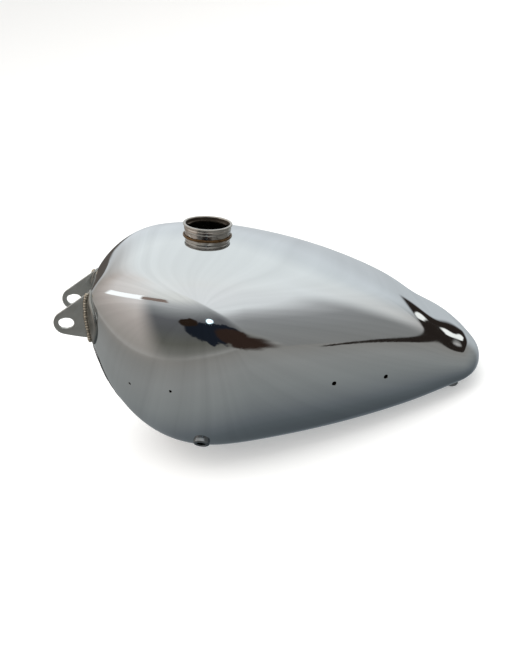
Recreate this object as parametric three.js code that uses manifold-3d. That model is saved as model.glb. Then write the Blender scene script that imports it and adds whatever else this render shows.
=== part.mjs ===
// A bare fuel tank for a motorcycle: a pear-shaped pressed-steel saddle tank.
// Two side pressings are butt-welded along the top centreline and closed underneath
// by an inverted-U tunnel that drops over the frame tube. A spun filler neck stands
// on top, two slotted ears reach forward from the nose, and threaded bosses for the
// taps and the rear fixings are set into the underside.
//
// Everything is laid out in the tank's own frame: X runs back from the nose point,
// -Y is the machine's left, Z is up. The last step stands the tank on a surface.
import * as THREE from "three";
import { mergeVertices } from "three/addons/utils/BufferGeometryUtils.js";
import Module from "manifold-3d";

const wasm = await Module();
wasm.setup();

// ---------- Driving dimensions: millimetres, and degrees where named ----------
const GAP = 0.3; // clearance between pieces that touch
const WALL = 1.5; // sheet thickness of the shells and the tunnel

// The outer skin. Each section is an oval with its own half width, crown height
// above the axis and belly depth below it; the three values are at the front,
// middle and rear of a smooth curve along the length.
const LENGTH = 516;
const AXIS_HEIGHT_NOSE = 147;
const AXIS_HEIGHT_TAIL = 49;
const HALF_WIDTH = [146, 140, 72];
const CROWN_HEIGHT = [78, 112, 38];
const BELLY_DEPTH = [190, 115, 20];
// How the curves close at each end: over what reach, and how bluntly.
const WIDTH_NOSE = { reach: 193, power: 2.05 };
const WIDTH_TAIL = { reach: 44, power: 2.5 };
const CROWN_NOSE = { reach: 105, power: 2.2 };
const CROWN_TAIL = { reach: 284, power: 3 };
const BELLY_NOSE = { reach: 158, power: 2.05 };
const BELLY_TAIL = { reach: 74, power: 2.6 };
const FLANK_FULLNESS = 0.035; // third harmonic that fills the flanks
const CROWN_FLATNESS = 0.085; // third harmonic that flattens crown and belly
const SEAT_DIP_DEPTH = 8; // shallow dip under the nose of the saddle
const SEAT_DIP_FROM_TAIL = 62;
const SEAT_DIP_LENGTH = 30;
const STATIONS = 22; // mesh rings along the length
const SECTOR_STEPS = 36; // mesh steps round a section

// The tunnel over the frame tube.
const TUNNEL_WIDTH = 84;
const TUNNEL_ROOF_NOSE = 116; // roof height at the nose point
const TUNNEL_ROOF_TAIL = 30; // roof height at the tail point
const TUNNEL_CORNER = 22; // radius of the roof corners

// Welds.
const SEAM_WIDTH = 3; // centreline butt weld, ground flush
const TUNNEL_WELD_WIDTH = 4; // bead over the joint of the shells and the tunnel
const TUNNEL_WELD_RISE = 1.2;

// Filler neck, square to the crown on the centreline.
const NECK_STATION = 162;
const NECK_SWELL = { height: 11, reach: 120, power: 8 }; // the crown swells under the neck
const NECK_RADIUS = 28.6; // outside of the plain wall
const NECK_HEIGHT = 14;
const NECK_SINK = 5; // how far the wall reaches below the skin
const NECK_WALL = 1.4;
const NECK_LIP = 2.1; // how far the rolled lip stands out
const NECK_BEAD = 0.7; // how far the swaged bead stands out
const NECK_BEAD_HEIGHTS = [7.4];
const NECK_BEAD_HALF = 2.4; // half height of a bead
const NECK_RING_WIDTH = 1.8; // solder ring round the foot
const NECK_RING_RISE = 2.4;
const BAYONET_DEPTH = 4; // below the lip
const BAYONET_WIDTH = 3.6; // radial width of the ledge
const BAYONET_THICKNESS = 1.6;
const BAYONET_NOTCH = 14; // width of each of the two notches

// Fixing ears, one each side of the nose.
const EAR_SPREAD = 75; // between the middles of the two plates
const EAR_THICKNESS = 3.5;
const EAR_SLOT_AHEAD = 21.6; // slot centre ahead of the nose point
const EAR_SLOT_HEIGHT = 153.6;
const EAR_SLOT_LENGTH = 19;
const EAR_SLOT_WIDTH = 13;
const EAR_END_RADIUS = 15.2;
const EAR_ROOT_TOP = 190; // height of the plate's upper corner at its root
const EAR_ROOT_BOTTOM = 125;
const EAR_ROOT_DEPTH = 36; // how far back the outline runs before the skin cuts it
const SHOE_THICKNESS = 2.5; // wedge-shaped shoe between ear and skin
const SHOE_INNER = 5; // how far the shoe reaches inboard of the plate
const SHOE_REACH = 24; // and outboard of it
const SHOE_MARGIN = 1.5; // past the plate's corners, up and down
const EAR_WELD_LEG = 3.6; // fillet weld between plate and shoe

// Threaded tap bosses low on each flank.
const TAP_STATION = 129;
const TAP_ANGLE = 130; // round the section from the crown, degrees
const TAP_RADIUS = 10.2;
const TAP_BORE = 5.6; // radius of the outlet
const TAP_PROUD = 4.5;
const TAP_SINK = 6;

// Threaded bosses for the rear fixings, pointing straight down.
const REAR_BOSS_FROM_TAIL = 45;
const REAR_BOSS_FROM_TUNNEL = 12.5; // its axis to the side of the tunnel
const REAR_BOSS_RADIUS = 7.8;
const REAR_BOSS_BORE = 4;
const REAR_BOSS_PROUD = 8;
const REAR_BOSS_SINK = 9;
const REAR_BOSS_FLOOR = 3; // material left at the closed end

// Blind screw bushes behind the badge holes and the knee-grip holes.
const BADGE_STATIONS = [51, 100];
const BADGE_ANGLES = [106.6, 100.3];
const BADGE_BORE = 2;
const GRIP_STATIONS = [293, 360];
const GRIP_ANGLES = [92.8, 90.5];
const GRIP_BORE = 3;
const BUSH_WALL = 2.4;
const BUSH_STANDOFF = 1; // behind the inside of the shell, where that curves away
const BUSH_LENGTH = 11;
const BUSH_FLOOR = 2.5;

// One baffle plate in each lobe.
const BAFFLE_STATION = 236;
const BAFFLE_THICKNESS = 1.5;
const BAFFLE_CLEARANCE = 1; // all round, to the inside of the shell
const BAFFLE_HOLE = 14; // radius of the fuel passage
const BAFFLE_HOLE_SIDE = 92; // its distance from the centreline
const BAFFLE_HOLE_HEIGHT = 70;

// ---------- Materials ----------
const steel = (color, roughness) =>
  new THREE.MeshStandardMaterial({ color, roughness, metalness: 1 });
const CHROME = steel(0xd9dcde, 0.05);
const SATIN = steel(0x6f7069, 0.45);
const BRONZE = steel(0x5d5346, 0.35);
const DARK_STEEL = steel(0x3c3f42, 0.5);

// ---------- The outer skin as a surface of station and angle ----------
const { sin, cos, PI, abs, max, min, exp } = Math;
const rad = (degrees) => (degrees * PI) / 180;

// A quadratic through the front, middle and rear values, u from 0 to 1.
const along = ([front, middle, rear], u) =>
  front * (1 - u) * (1 - 2 * u) + 4 * middle * u * (1 - u) + rear * u * (2 * u - 1);

// Rises from 0 at the end to 1 at the reach: a superellipse quarter.
const close = (distance, { reach, power }) =>
  (1 - min(1, max(0, 1 - distance / reach)) ** power) ** (1 / power);

// A point of the skin: station in mm from the nose, angle round from the crown.
function skin(station, angle) {
  const s = min(LENGTH, max(0, station));
  const u = s / LENGTH;
  const back = LENGTH - s;
  const half = along(HALF_WIDTH, u) * close(s, WIDTH_NOSE) * close(back, WIDTH_TAIL);
  const dip = SEAT_DIP_DEPTH * exp(-(((back - SEAT_DIP_FROM_TAIL) / SEAT_DIP_LENGTH) ** 2));
  const crown = (along(CROWN_HEIGHT, u) - dip) * close(s, CROWN_NOSE) * close(back, CROWN_TAIL);
  const belly = along(BELLY_DEPTH, u) * close(s, BELLY_NOSE) * close(back, BELLY_TAIL);
  const axis = AXIS_HEIGHT_NOSE + (AXIS_HEIGHT_TAIL - AXIS_HEIGHT_NOSE) * u;
  const middle = (crown - belly) / 2;
  const rise = (crown + belly) / 2;
  const side = (sin(angle) + FLANK_FULLNESS * sin(3 * angle)) / (1 - FLANK_FULLNESS);
  const lift = (cos(angle) - CROWN_FLATNESS * cos(3 * angle)) / (1 - CROWN_FLATNESS);
  const swell = NECK_SWELL.height * exp(-(((s - NECK_STATION) / NECK_SWELL.reach) ** 2));
  const ridge = swell * close(s, CROWN_NOSE) * close(back, CROWN_TAIL) * max(0, cos(angle)) ** NECK_SWELL.power;
  const z = axis + middle * (1 - sin(angle) ** 2) + rise * lift + ridge;
  return new THREE.Vector3(s, half * side, z);
}

// Station of a sweep parameter t from 0 at the nose to 1 at the tail, closer
// together towards both ends where the skin turns quickly.
const stationAt = (t) => (LENGTH * (1 - cos(PI * t))) / 2;

function skinNormal(t, angle) {
  if (t <= 0) return new THREE.Vector3(-1, 0, 0);
  if (t >= 1) return new THREE.Vector3(1, 0, 0);
  const h = 1e-3;
  const lengthwise = skin(stationAt(t + h), angle).sub(skin(stationAt(t - h), angle));
  const roundwise = skin(stationAt(t), angle + h).sub(skin(stationAt(t), angle - h));
  return lengthwise.cross(roundwise).normalize();
}

// Point and outward normal at a station and an angle, for what is set into the skin.
function seat(station, angle) {
  const t = Math.acos(1 - (2 * station) / LENGTH) / PI;
  return { point: skin(station, angle), normal: skinNormal(t, angle) };
}

// ---------- Solids ----------
function solid(geometry) {
  const bare = geometry.clone();
  bare.deleteAttribute("normal");
  bare.deleteAttribute("uv");
  const merged = mergeVertices(bare, 1e-4);
  return new wasm.Manifold(
    new wasm.Mesh({
      numProp: 3,
      vertProperties: merged.attributes.position.array,
      triVerts: new Uint32Array(merged.index.array),
    }),
  );
}

function geometryOf(body) {
  const { numProp, numVert, vertProperties, triVerts } = body.getMesh();
  const position = new Float32Array(numVert * 3);
  for (let i = 0; i < numVert; i++) {
    position.set(vertProperties.subarray(i * numProp, i * numProp + 3), i * 3);
  }
  const geometry = new THREE.BufferGeometry();
  geometry.setAttribute("position", new THREE.BufferAttribute(position, 3));
  geometry.setIndex(new THREE.BufferAttribute(triVerts, 1));
  geometry.computeVertexNormals();
  return geometry;
}

// The closed body inside the skin moved outwards by an offset, or inwards if negative.
function tankBody(offset) {
  const points = [];
  const index = [];
  const ring = (i, j) => 1 + (i - 1) * SECTOR_STEPS + (j % SECTOR_STEPS);
  const place = (t, angle) => {
    const p = skin(stationAt(t), angle).addScaledVector(skinNormal(t, angle), offset);
    points.push(p.x, p.y, p.z);
  };
  place(0, 0);
  for (let i = 1; i < STATIONS; i++) {
    for (let j = 0; j < SECTOR_STEPS; j++) place(i / STATIONS, (2 * PI * j) / SECTOR_STEPS);
  }
  place(1, 0);
  const tail = points.length / 3 - 1;
  for (let j = 0; j < SECTOR_STEPS; j++) {
    index.push(0, ring(1, j), ring(1, j + 1));
    index.push(tail, ring(STATIONS - 1, j + 1), ring(STATIONS - 1, j));
    for (let i = 1; i < STATIONS - 1; i++) {
      index.push(ring(i, j), ring(i + 1, j), ring(i + 1, j + 1));
      index.push(ring(i, j), ring(i + 1, j + 1), ring(i, j + 1));
    }
  }
  const geometry = new THREE.BufferGeometry();
  geometry.setAttribute("position", new THREE.Float32BufferAttribute(points, 3));
  geometry.setIndex(index);
  return solid(geometry);
}

// A box between two corners.
function block(low, high) {
  const size = high.map((v, i) => v - low[i]);
  const geometry = new THREE.BoxGeometry(...size);
  geometry.translate(...high.map((v, i) => (v + low[i]) / 2));
  return solid(geometry);
}

// A turned piece on the Z axis from its closed [radius, height] outline.
function turned(outline, steps = 28) {
  const profile = [...outline, outline[0]].map(([r, z]) => new THREE.Vector2(r, z));
  const geometry = new THREE.LatheGeometry(profile, steps);
  geometry.rotateX(PI / 2);
  return geometry;
}

// Moves a geometry made on the Z axis to a point, with that axis along a direction.
function aim(geometry, point, direction) {
  const turn = new THREE.Quaternion().setFromUnitVectors(
    new THREE.Vector3(0, 0, 1),
    direction,
  );
  return geometry.applyQuaternion(turn).translate(point.x, point.y, point.z);
}

// A drawn shape spread along an axis: alongX takes it as [y, z], alongY as [x, z].
function alongX(shape, low, high, curveSegments) {
  const geometry = new THREE.ExtrudeGeometry(shape, {
    depth: high - low,
    bevelEnabled: false,
    curveSegments,
  });
  geometry.rotateX(PI / 2);
  geometry.rotateZ(PI / 2);
  return geometry.translate(low, 0, 0);
}
function alongY(shape, low, high, curveSegments) {
  const geometry = new THREE.ExtrudeGeometry(shape, {
    depth: high - low,
    bevelEnabled: false,
    curveSegments,
  });
  geometry.rotateX(PI / 2);
  return geometry.translate(0, high, 0);
}

// The range of y between two distances from the centreline, on one side.
const span = (side, near, far) => (side < 0 ? [-far, -near] : [near, far]);

const FAR = 2 * LENGTH; // longer than anything that is cut
const LEFT = -1;
const RIGHT = 1;

const outer = tankBody(0);
const inner = tankBody(-WALL);
const nearSkin = tankBody(GAP);
const sheet = outer.subtract(inner);

// The space on one side of the centreline, from a distance outwards.
const sideOf = (side, from) =>
  side === LEFT
    ? block([-FAR, -FAR, -FAR], [FAR, -from, FAR])
    : block([-FAR, from, -FAR], [FAR, FAR, FAR]);

// The angle at which a section has a given half width, on its upper half.
function angleAtSide(station, y) {
  let low = 0;
  let high = PI / 2;
  for (let i = 0; i < 40; i++) {
    const middle = (low + high) / 2;
    if (skin(station, middle).y < abs(y)) low = middle;
    else high = middle;
  }
  return (Math.sign(y) || 1) * low;
}

// The point of the underside at a station and a distance from the centreline.
const underside = (station, y) => skin(station, Math.sign(y) * PI - angleAtSide(station, y));

// ---------- Filler neck ----------
const neckSeat = seat(NECK_STATION, 0);
const neckBore = NECK_RADIUS - NECK_WALL;
const atNeck = (outline) => aim(turned(outline), neckSeat.point, neckSeat.normal);
const beads = NECK_BEAD_HEIGHTS.flatMap((z) => [
  [NECK_RADIUS, z - NECK_BEAD_HALF],
  [NECK_RADIUS + NECK_BEAD, z - 0.4 * NECK_BEAD_HALF],
  [NECK_RADIUS + NECK_BEAD, z + 0.4 * NECK_BEAD_HALF],
  [NECK_RADIUS, z + NECK_BEAD_HALF],
]);
const fillerNeck = atNeck([
  [neckBore, -NECK_SINK],
  [NECK_RADIUS, -NECK_SINK],
  ...beads,
  [NECK_RADIUS, NECK_HEIGHT - NECK_LIP],
  [NECK_RADIUS + NECK_LIP, NECK_HEIGHT - 0.8 * NECK_LIP],
  [NECK_RADIUS + NECK_LIP, NECK_HEIGHT],
  [neckBore, NECK_HEIGHT],
]);
const neckClear = NECK_RADIUS + GAP;
const neckHole = solid(atNeck([[0, -30], [neckClear, -30], [neckClear, 30], [0, 30]]));

// The solder ring follows the skin round the foot of the neck.
const ringOutside = neckClear + NECK_RING_WIDTH;
const neckRing = solid(
  atNeck([[neckClear, -12], [ringOutside, -12], [ringOutside, 12], [neckClear, 12]]),
)
  .intersect(tankBody(NECK_RING_RISE))
  .subtract(nearSkin);

// The bayonet ledge inside the mouth, open at two notches that the cap's lugs pass.
const ledgeTop = NECK_HEIGHT - BAYONET_DEPTH;
const ledgeFoot = ledgeTop - BAYONET_THICKNESS;
const ledgeOutside = neckBore - GAP;
const ledgeBore = ledgeOutside - BAYONET_WIDTH;
const notchReach = ledgeOutside - 0.3 * BAYONET_WIDTH;
const ledge = solid(
  turned([
    [ledgeBore, ledgeFoot],
    [ledgeOutside, ledgeFoot],
    [ledgeOutside, ledgeTop],
    [ledgeBore, ledgeTop],
  ]),
).subtract(
  block([-notchReach, -BAYONET_NOTCH / 2, 0], [notchReach, BAYONET_NOTCH / 2, NECK_HEIGHT]),
);
const bayonetRing = aim(geometryOf(ledge), neckSeat.point, neckSeat.normal);

// ---------- Tunnel ----------
// The channel's outline seen along X, grown by an amount, with rounded shoulders. Its
// roof falls towards the tail, so the straight prism is sheared along its length.
function tunnelPrism(grow) {
  const half = TUNNEL_WIDTH / 2 + grow;
  const roof = TUNNEL_ROOF_NOSE + grow;
  const corner = TUNNEL_CORNER + grow;
  const shape = new THREE.Shape();
  shape.moveTo(-half, -FAR);
  shape.lineTo(half, -FAR);
  shape.lineTo(half, roof - corner);
  shape.absarc(half - corner, roof - corner, corner, 0, PI / 2, false);
  shape.lineTo(corner - half, roof);
  shape.absarc(corner - half, roof - corner, corner, PI / 2, PI, false);
  shape.closePath();
  const fall = (TUNNEL_ROOF_TAIL - TUNNEL_ROOF_NOSE) / LENGTH;
  const shear = new THREE.Matrix4().set(1, 0, 0, 0, 0, 1, 0, 0, fall, 0, 1, 0, 0, 0, 0, 1);
  return solid(alongX(shape, -FAR, FAR, 5).applyMatrix4(shear));
}
const tunnelClear = tunnelPrism(GAP);
const tunnel = tunnelPrism(0).subtract(tunnelPrism(-WALL)).intersect(outer);

// One bead runs all round the joint, over the skin.
const jointSide = GAP / 2;
const tunnelWeld = tankBody(GAP + TUNNEL_WELD_RISE)
  .subtract(nearSkin)
  .intersect(tunnelPrism(jointSide + TUNNEL_WELD_WIDTH / 2))
  .subtract(tunnelPrism(jointSide - TUNNEL_WELD_WIDTH / 2));

// ---------- Centreline seam ----------
const seam = sheet
  .intersect(block([-FAR, -SEAM_WIDTH / 2, -FAR], [FAR, SEAM_WIDTH / 2, FAR]))
  .subtract(tunnelClear)
  .subtract(neckHole);
const seamFront = seam.intersect(block([-FAR, -FAR, -FAR], [NECK_STATION, FAR, FAR]));
const seamRear = seam.intersect(block([NECK_STATION, -FAR, -FAR], [FAR, FAR, FAR]));

// ---------- How the tank stands ----------
// It stands on the weld beads under its two lobes and on the rear bosses, so the pitch
// is the slope of the line from the lowest point of a bead to the face of a boss.
const rearStation = LENGTH - REAR_BOSS_FROM_TAIL;
const downAt = (pitch) => new THREE.Vector3(sin(pitch), 0, -cos(pitch));
const rearFace = (side, pitch) =>
  underside(rearStation, side * (TUNNEL_WIDTH / 2 + REAR_BOSS_FROM_TUNNEL)).addScaledVector(
    downAt(pitch),
    REAR_BOSS_PROUD,
  );
function standingPitch() {
  let pitch = 0;
  for (let round = 0; round < 6; round++) {
    const down = downAt(pitch);
    let lowest = underside(LENGTH / 4, TUNNEL_WIDTH / 2);
    for (let station = LENGTH / 8; station < LENGTH / 2; station += 2) {
      const point = underside(station, TUNNEL_WIDTH / 2);
      if (point.dot(down) > lowest.dot(down)) lowest = point;
    }
    lowest.addScaledVector(down, GAP + TUNNEL_WELD_RISE);
    const face = rearFace(RIGHT, pitch);
    pitch = Math.atan2(face.z - lowest.z, face.x - lowest.x);
  }
  return pitch;
}
const pitch = standingPitch();

// ---------- Bosses and bushes ----------
// A turned boss with its face at height 0: open right through, or closed by a floor.
const openBoss = (radius, bore, length) => [
  [bore, -length],
  [radius, -length],
  [radius, -1],
  [radius - 1, 0],
  [bore, 0],
];
const blindBoss = (radius, bore, length, floor) => [
  [0, -length],
  [radius, -length],
  [radius, -0.8],
  [radius - 0.8, 0],
  [bore, 0],
  [bore, floor - length],
  [0, floor - length],
];
const rod = (radius, length) => [[0, -length], [radius, -length], [radius, length], [0, length]];

// ---------- Scene ----------
const tank = new THREE.Group();
function keep(name, shape, material) {
  const geometry = shape instanceof wasm.Manifold ? geometryOf(shape) : shape;
  const mesh = new THREE.Mesh(geometry, material);
  mesh.name = name;
  tank.add(mesh);
}
keep("filler_neck", fillerNeck, BRONZE);
keep("neck_ring", neckRing, DARK_STEEL);
keep("bayonet_ring", bayonetRing, BRONZE);
keep("tunnel", tunnel, CHROME);
keep("tunnel_weld", tunnelWeld, SATIN);
keep("seam_weld_front", seamFront, CHROME);
keep("seam_weld_rear", seamRear, CHROME);

for (const [name, side] of [["left", LEFT], ["right", RIGHT]]) {
  const holes = []; // what is cut out of this side's shell

  // Ear plate: a round end about the slot, a straight upper and a full lower edge.
  const plateInside = EAR_SPREAD / 2 - EAR_THICKNESS / 2;
  const plateOutside = EAR_SPREAD / 2 + EAR_THICKNESS / 2;
  const slotEnd = EAR_SLOT_WIDTH / 2;
  const slotReach = (EAR_SLOT_LENGTH - EAR_SLOT_WIDTH) / 2;
  const climb = Math.atan2(EAR_ROOT_TOP - EAR_SLOT_HEIGHT, EAR_SLOT_AHEAD + EAR_ROOT_DEPTH);
  const outline = new THREE.Shape();
  outline.moveTo(EAR_ROOT_DEPTH, EAR_ROOT_BOTTOM);
  outline.lineTo(EAR_ROOT_DEPTH, EAR_ROOT_TOP + EAR_END_RADIUS);
  outline.absarc(
    -EAR_SLOT_AHEAD,
    EAR_SLOT_HEIGHT,
    EAR_END_RADIUS,
    PI / 2 + climb,
    1.5 * PI - climb / 2,
    false,
  );
  outline.quadraticCurveTo(0, EAR_ROOT_BOTTOM + 5, EAR_ROOT_DEPTH, EAR_ROOT_BOTTOM);
  const slot = new THREE.Path();
  slot.absarc(-EAR_SLOT_AHEAD - slotReach, EAR_SLOT_HEIGHT, slotEnd, PI / 2, 1.5 * PI, false);
  slot.absarc(-EAR_SLOT_AHEAD + slotReach, EAR_SLOT_HEIGHT, slotEnd, -PI / 2, PI / 2, false);
  slot.closePath();
  outline.holes.push(slot);
  const shoeFace = GAP + SHOE_THICKNESS;
  const ear = solid(alongY(outline, ...span(side, plateInside, plateOutside), 10));
  keep(`${name}_ear`, ear.subtract(tankBody(shoeFace + GAP)), SATIN);

  // Shoe: a layer on the skin behind the plate's root, with a bulging outboard edge.
  const shoeLow = EAR_ROOT_BOTTOM - SHOE_MARGIN;
  const shoeHigh = EAR_ROOT_TOP + SHOE_MARGIN;
  const shoeInside = side * (plateInside - SHOE_INNER);
  const shoeEnds = side * (plateOutside + EAR_WELD_LEG + SHOE_MARGIN);
  const shoeBulge = side * (plateOutside + 2 * SHOE_REACH - EAR_WELD_LEG);
  const lens = new THREE.Shape();
  lens.moveTo(shoeInside, shoeLow);
  lens.lineTo(shoeEnds, shoeLow);
  lens.quadraticCurveTo(shoeBulge, (shoeLow + shoeHigh) / 2, shoeEnds, shoeHigh);
  lens.lineTo(shoeInside, shoeHigh);
  lens.closePath();
  const shoe = solid(alongX(lens, -SHOE_REACH, LENGTH / 4, 10));
  keep(
    `${name}_ear_shoe`,
    shoe.intersect(tankBody(shoeFace)).subtract(nearSkin),
    DARK_STEEL,
  );

  // Fillet weld in the corner of the plate's outer face and the shoe.
  const [weldLow, weldHigh] = span(side, plateOutside + GAP, plateOutside + GAP + EAR_WELD_LEG);
  const earWeld = tankBody(shoeFace + GAP + EAR_WELD_LEG)
    .subtract(tankBody(shoeFace + GAP))
    .intersect(
      block([-FAR, weldLow, EAR_ROOT_BOTTOM], [LENGTH / 4, weldHigh, EAR_ROOT_TOP]),
    );
  keep(`${name}_ear_weld`, earWeld, SATIN);

  // Tap boss, square to the skin and open into the tank.
  const tap = seat(TAP_STATION, side * rad(TAP_ANGLE));
  const tapFace = tap.point.clone().addScaledVector(tap.normal, TAP_PROUD);
  const tapOutline = openBoss(TAP_RADIUS, TAP_BORE, TAP_PROUD + TAP_SINK);
  keep(`${name}_tap_boss`, aim(turned(tapOutline, 24), tapFace, tap.normal), DARK_STEEL);
  holes.push(aim(turned(rod(TAP_RADIUS + GAP, 20), 24), tap.point, tap.normal));

  // Rear boss, blind, with its face level when the tank stands.
  const down = downAt(pitch);
  const bossFace = rearFace(side, pitch);
  const bossLength = REAR_BOSS_PROUD + REAR_BOSS_SINK;
  const bossOutline = blindBoss(REAR_BOSS_RADIUS, REAR_BOSS_BORE, bossLength, REAR_BOSS_FLOOR);
  keep(`${name}_rear_boss`, aim(turned(bossOutline, 20), bossFace, down), DARK_STEEL);
  holes.push(aim(turned(rod(REAR_BOSS_RADIUS + GAP, bossLength + 6), 20), bossFace, down));

  // Screw bushes behind the holes in the flank.
  const bushes = [
    ["badge", BADGE_STATIONS, BADGE_ANGLES, BADGE_BORE],
    ["grip", GRIP_STATIONS, GRIP_ANGLES, GRIP_BORE],
  ];
  for (const [use, stations, angles, bore] of bushes) {
    ["front", "rear"].forEach((end, i) => {
      const { point, normal } = seat(stations[i], side * rad(angles[i]));
      const face = point.clone().addScaledVector(normal, -WALL - BUSH_STANDOFF);
      const bush = turned(blindBoss(bore + BUSH_WALL, bore, BUSH_LENGTH, BUSH_FLOOR), 12);
      keep(`${name}_${use}_bush_${end}`, aim(bush, face, normal), DARK_STEEL);
      holes.push(aim(turned(rod(bore, 6), 12), point, normal));
    });
  }

  // Baffle plate across the lobe, with one fuel passage.
  const [baffleLow, baffleHigh] = span(side, TUNNEL_WIDTH / 2 + BAFFLE_CLEARANCE, FAR);
  const passage = turned(rod(BAFFLE_HOLE, 20), 20);
  passage.rotateY(PI / 2);
  passage.translate(BAFFLE_STATION, side * BAFFLE_HOLE_SIDE, BAFFLE_HOLE_HEIGHT);
  const baffle = tankBody(-WALL - BAFFLE_CLEARANCE)
    .intersect(
      block(
        [BAFFLE_STATION, baffleLow, -FAR],
        [BAFFLE_STATION + BAFFLE_THICKNESS, baffleHigh, FAR],
      ),
    )
    .subtract(solid(passage));
  keep(`${name}_baffle`, baffle, DARK_STEEL);

  let shell = sheet
    .intersect(sideOf(side, SEAM_WIDTH / 2 + GAP))
    .subtract(tunnelClear)
    .subtract(neckHole);
  for (const hole of holes) shell = shell.subtract(solid(hole));
  keep(`${name}_shell`, shell, CHROME);
}

// Stand the tank level on Z = 0 with its box centred on the origin.
tank.rotation.y = pitch;
const object = new THREE.Group();
object.add(tank);
const box = new THREE.Box3().setFromObject(object, true);
const centre = box.getCenter(new THREE.Vector3());
tank.position.set(-centre.x, -centre.y, -box.min.z);

export default object;
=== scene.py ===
# %% [markdown]
# A bare chromed fuel tank for a motorcycle, seen as a studio still life.
# The real thing is two pressed-steel halves, butt-welded along the top centreline and
# closed underneath by a tunnel that drops over the frame tube. A spun neck stands on
# top, two slotted ears reach forward, and threaded bosses are set into the underside.
#
# The CAD model fixes every size. It is faceted, and polished chrome shows each facet
# as a broken reflection, so the visible pieces are worked out again here on fine grids
# from the same sizes, with their true surface normals.

import bpy
import numpy as np
from mathutils import Matrix


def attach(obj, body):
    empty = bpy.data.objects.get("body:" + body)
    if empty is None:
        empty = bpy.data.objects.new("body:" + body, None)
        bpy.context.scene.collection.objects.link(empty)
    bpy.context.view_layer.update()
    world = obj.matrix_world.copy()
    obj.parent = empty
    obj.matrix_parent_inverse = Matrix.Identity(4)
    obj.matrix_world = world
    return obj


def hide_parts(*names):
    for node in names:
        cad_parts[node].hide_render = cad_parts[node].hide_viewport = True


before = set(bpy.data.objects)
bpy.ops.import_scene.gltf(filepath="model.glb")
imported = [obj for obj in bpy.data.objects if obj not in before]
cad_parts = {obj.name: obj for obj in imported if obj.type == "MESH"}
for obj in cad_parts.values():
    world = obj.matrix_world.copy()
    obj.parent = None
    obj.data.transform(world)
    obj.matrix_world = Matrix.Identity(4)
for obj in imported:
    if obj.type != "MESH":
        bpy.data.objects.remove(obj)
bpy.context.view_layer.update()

# %% [markdown]
# The sizes below are the tank's own, in millimetres, in the frame it was drawn in:
# X runs back from the nose, -Y is the machine's left, Z is up. The tank then stands
# pitched on its lowest beads and bosses, so one turn and one shift take a point of the
# drawing to its place in metres.

# %% Sizes of the pressing
LENGTH = 516.0
AXIS_HEIGHT = (147.0, 49.0)  # of the section's widest line, at the nose and the tail
HALF_WIDTH = (146.0, 140.0, 72.0)  # front, middle, rear
CROWN_HEIGHT = (78.0, 112.0, 38.0)
BELLY_DEPTH = (190.0, 115.0, 20.0)
WIDTH_NOSE, WIDTH_TAIL = (193.0, 2.05), (44.0, 2.5)  # reach and power of each closing
CROWN_NOSE, CROWN_TAIL = (105.0, 2.2), (284.0, 3.0)
BELLY_NOSE, BELLY_TAIL = (158.0, 2.05), (74.0, 2.6)
FLANK_FULLNESS, CROWN_FLATNESS = 0.035, 0.085
DIP_DEPTH, DIP_FROM_TAIL, DIP_LENGTH = 8.0, 62.0, 30.0
SWELL_HEIGHT, SWELL_STATION, SWELL_REACH, SWELL_POWER = 11.0, 162.0, 120.0, 8
WALL = 1.5
SEAM_WIDTH = 3.0
TUNNEL_HALF = 42.0
TUNNEL_ROOF = (116.0, 30.0)
TUNNEL_CORNER = 22.0

# %% From the drawing to the place where the tank stands
PITCH = 0.15109378  # radians
SHIFT = np.array([-252.0317, 0.0, 56.4654])
TURN = np.array([[np.cos(PITCH), 0, np.sin(PITCH)], [0, 1, 0], [-np.sin(PITCH), 0, np.cos(PITCH)]])
DOWN = np.array([np.sin(PITCH), 0, -np.cos(PITCH)])  # straight down, in the drawing
MIRROR = np.array([1.0, -1.0, 1.0])
SIDES = (("left", -1), ("right", 1))


def stand(points):
    """Drawing millimetres to frame metres: turned about Y by the pitch, then shifted."""
    return (np.asarray(points, float) @ TURN.T + SHIFT) / 1000


def stand_direction(vectors):
    """A direction turned about Y by the pitch."""
    return np.asarray(vectors, float) @ TURN.T


# %% [markdown]
# **The skin.** A pressing like this could be modelled with a subdivision cage, but its
# highlights would then wander with the cage. It is one formula instead: a section that
# changes its half width, crown and belly along the length. Each closes at both ends as
# a superellipse quarter, so nose and tail are round without any patch or pinch.

# %% The skin as a surface of station and angle
def along(values, u):
    """The quadratic through a front, middle and rear value, for u from 0 to 1."""
    front, middle, rear = values
    return front * (1 - u) * (1 - 2 * u) + 4 * middle * u * (1 - u) + rear * u * (2 * u - 1)


def close(distance, end):
    """Rises from 0 at the end to 1 at the reach: (1 - (1 - d/reach)^power)^(1/power)."""
    reach, power = end
    rest = np.clip(1 - distance / reach, 0, 1) ** power
    return np.maximum(1 - rest, 0) ** (1 / power)


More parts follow.
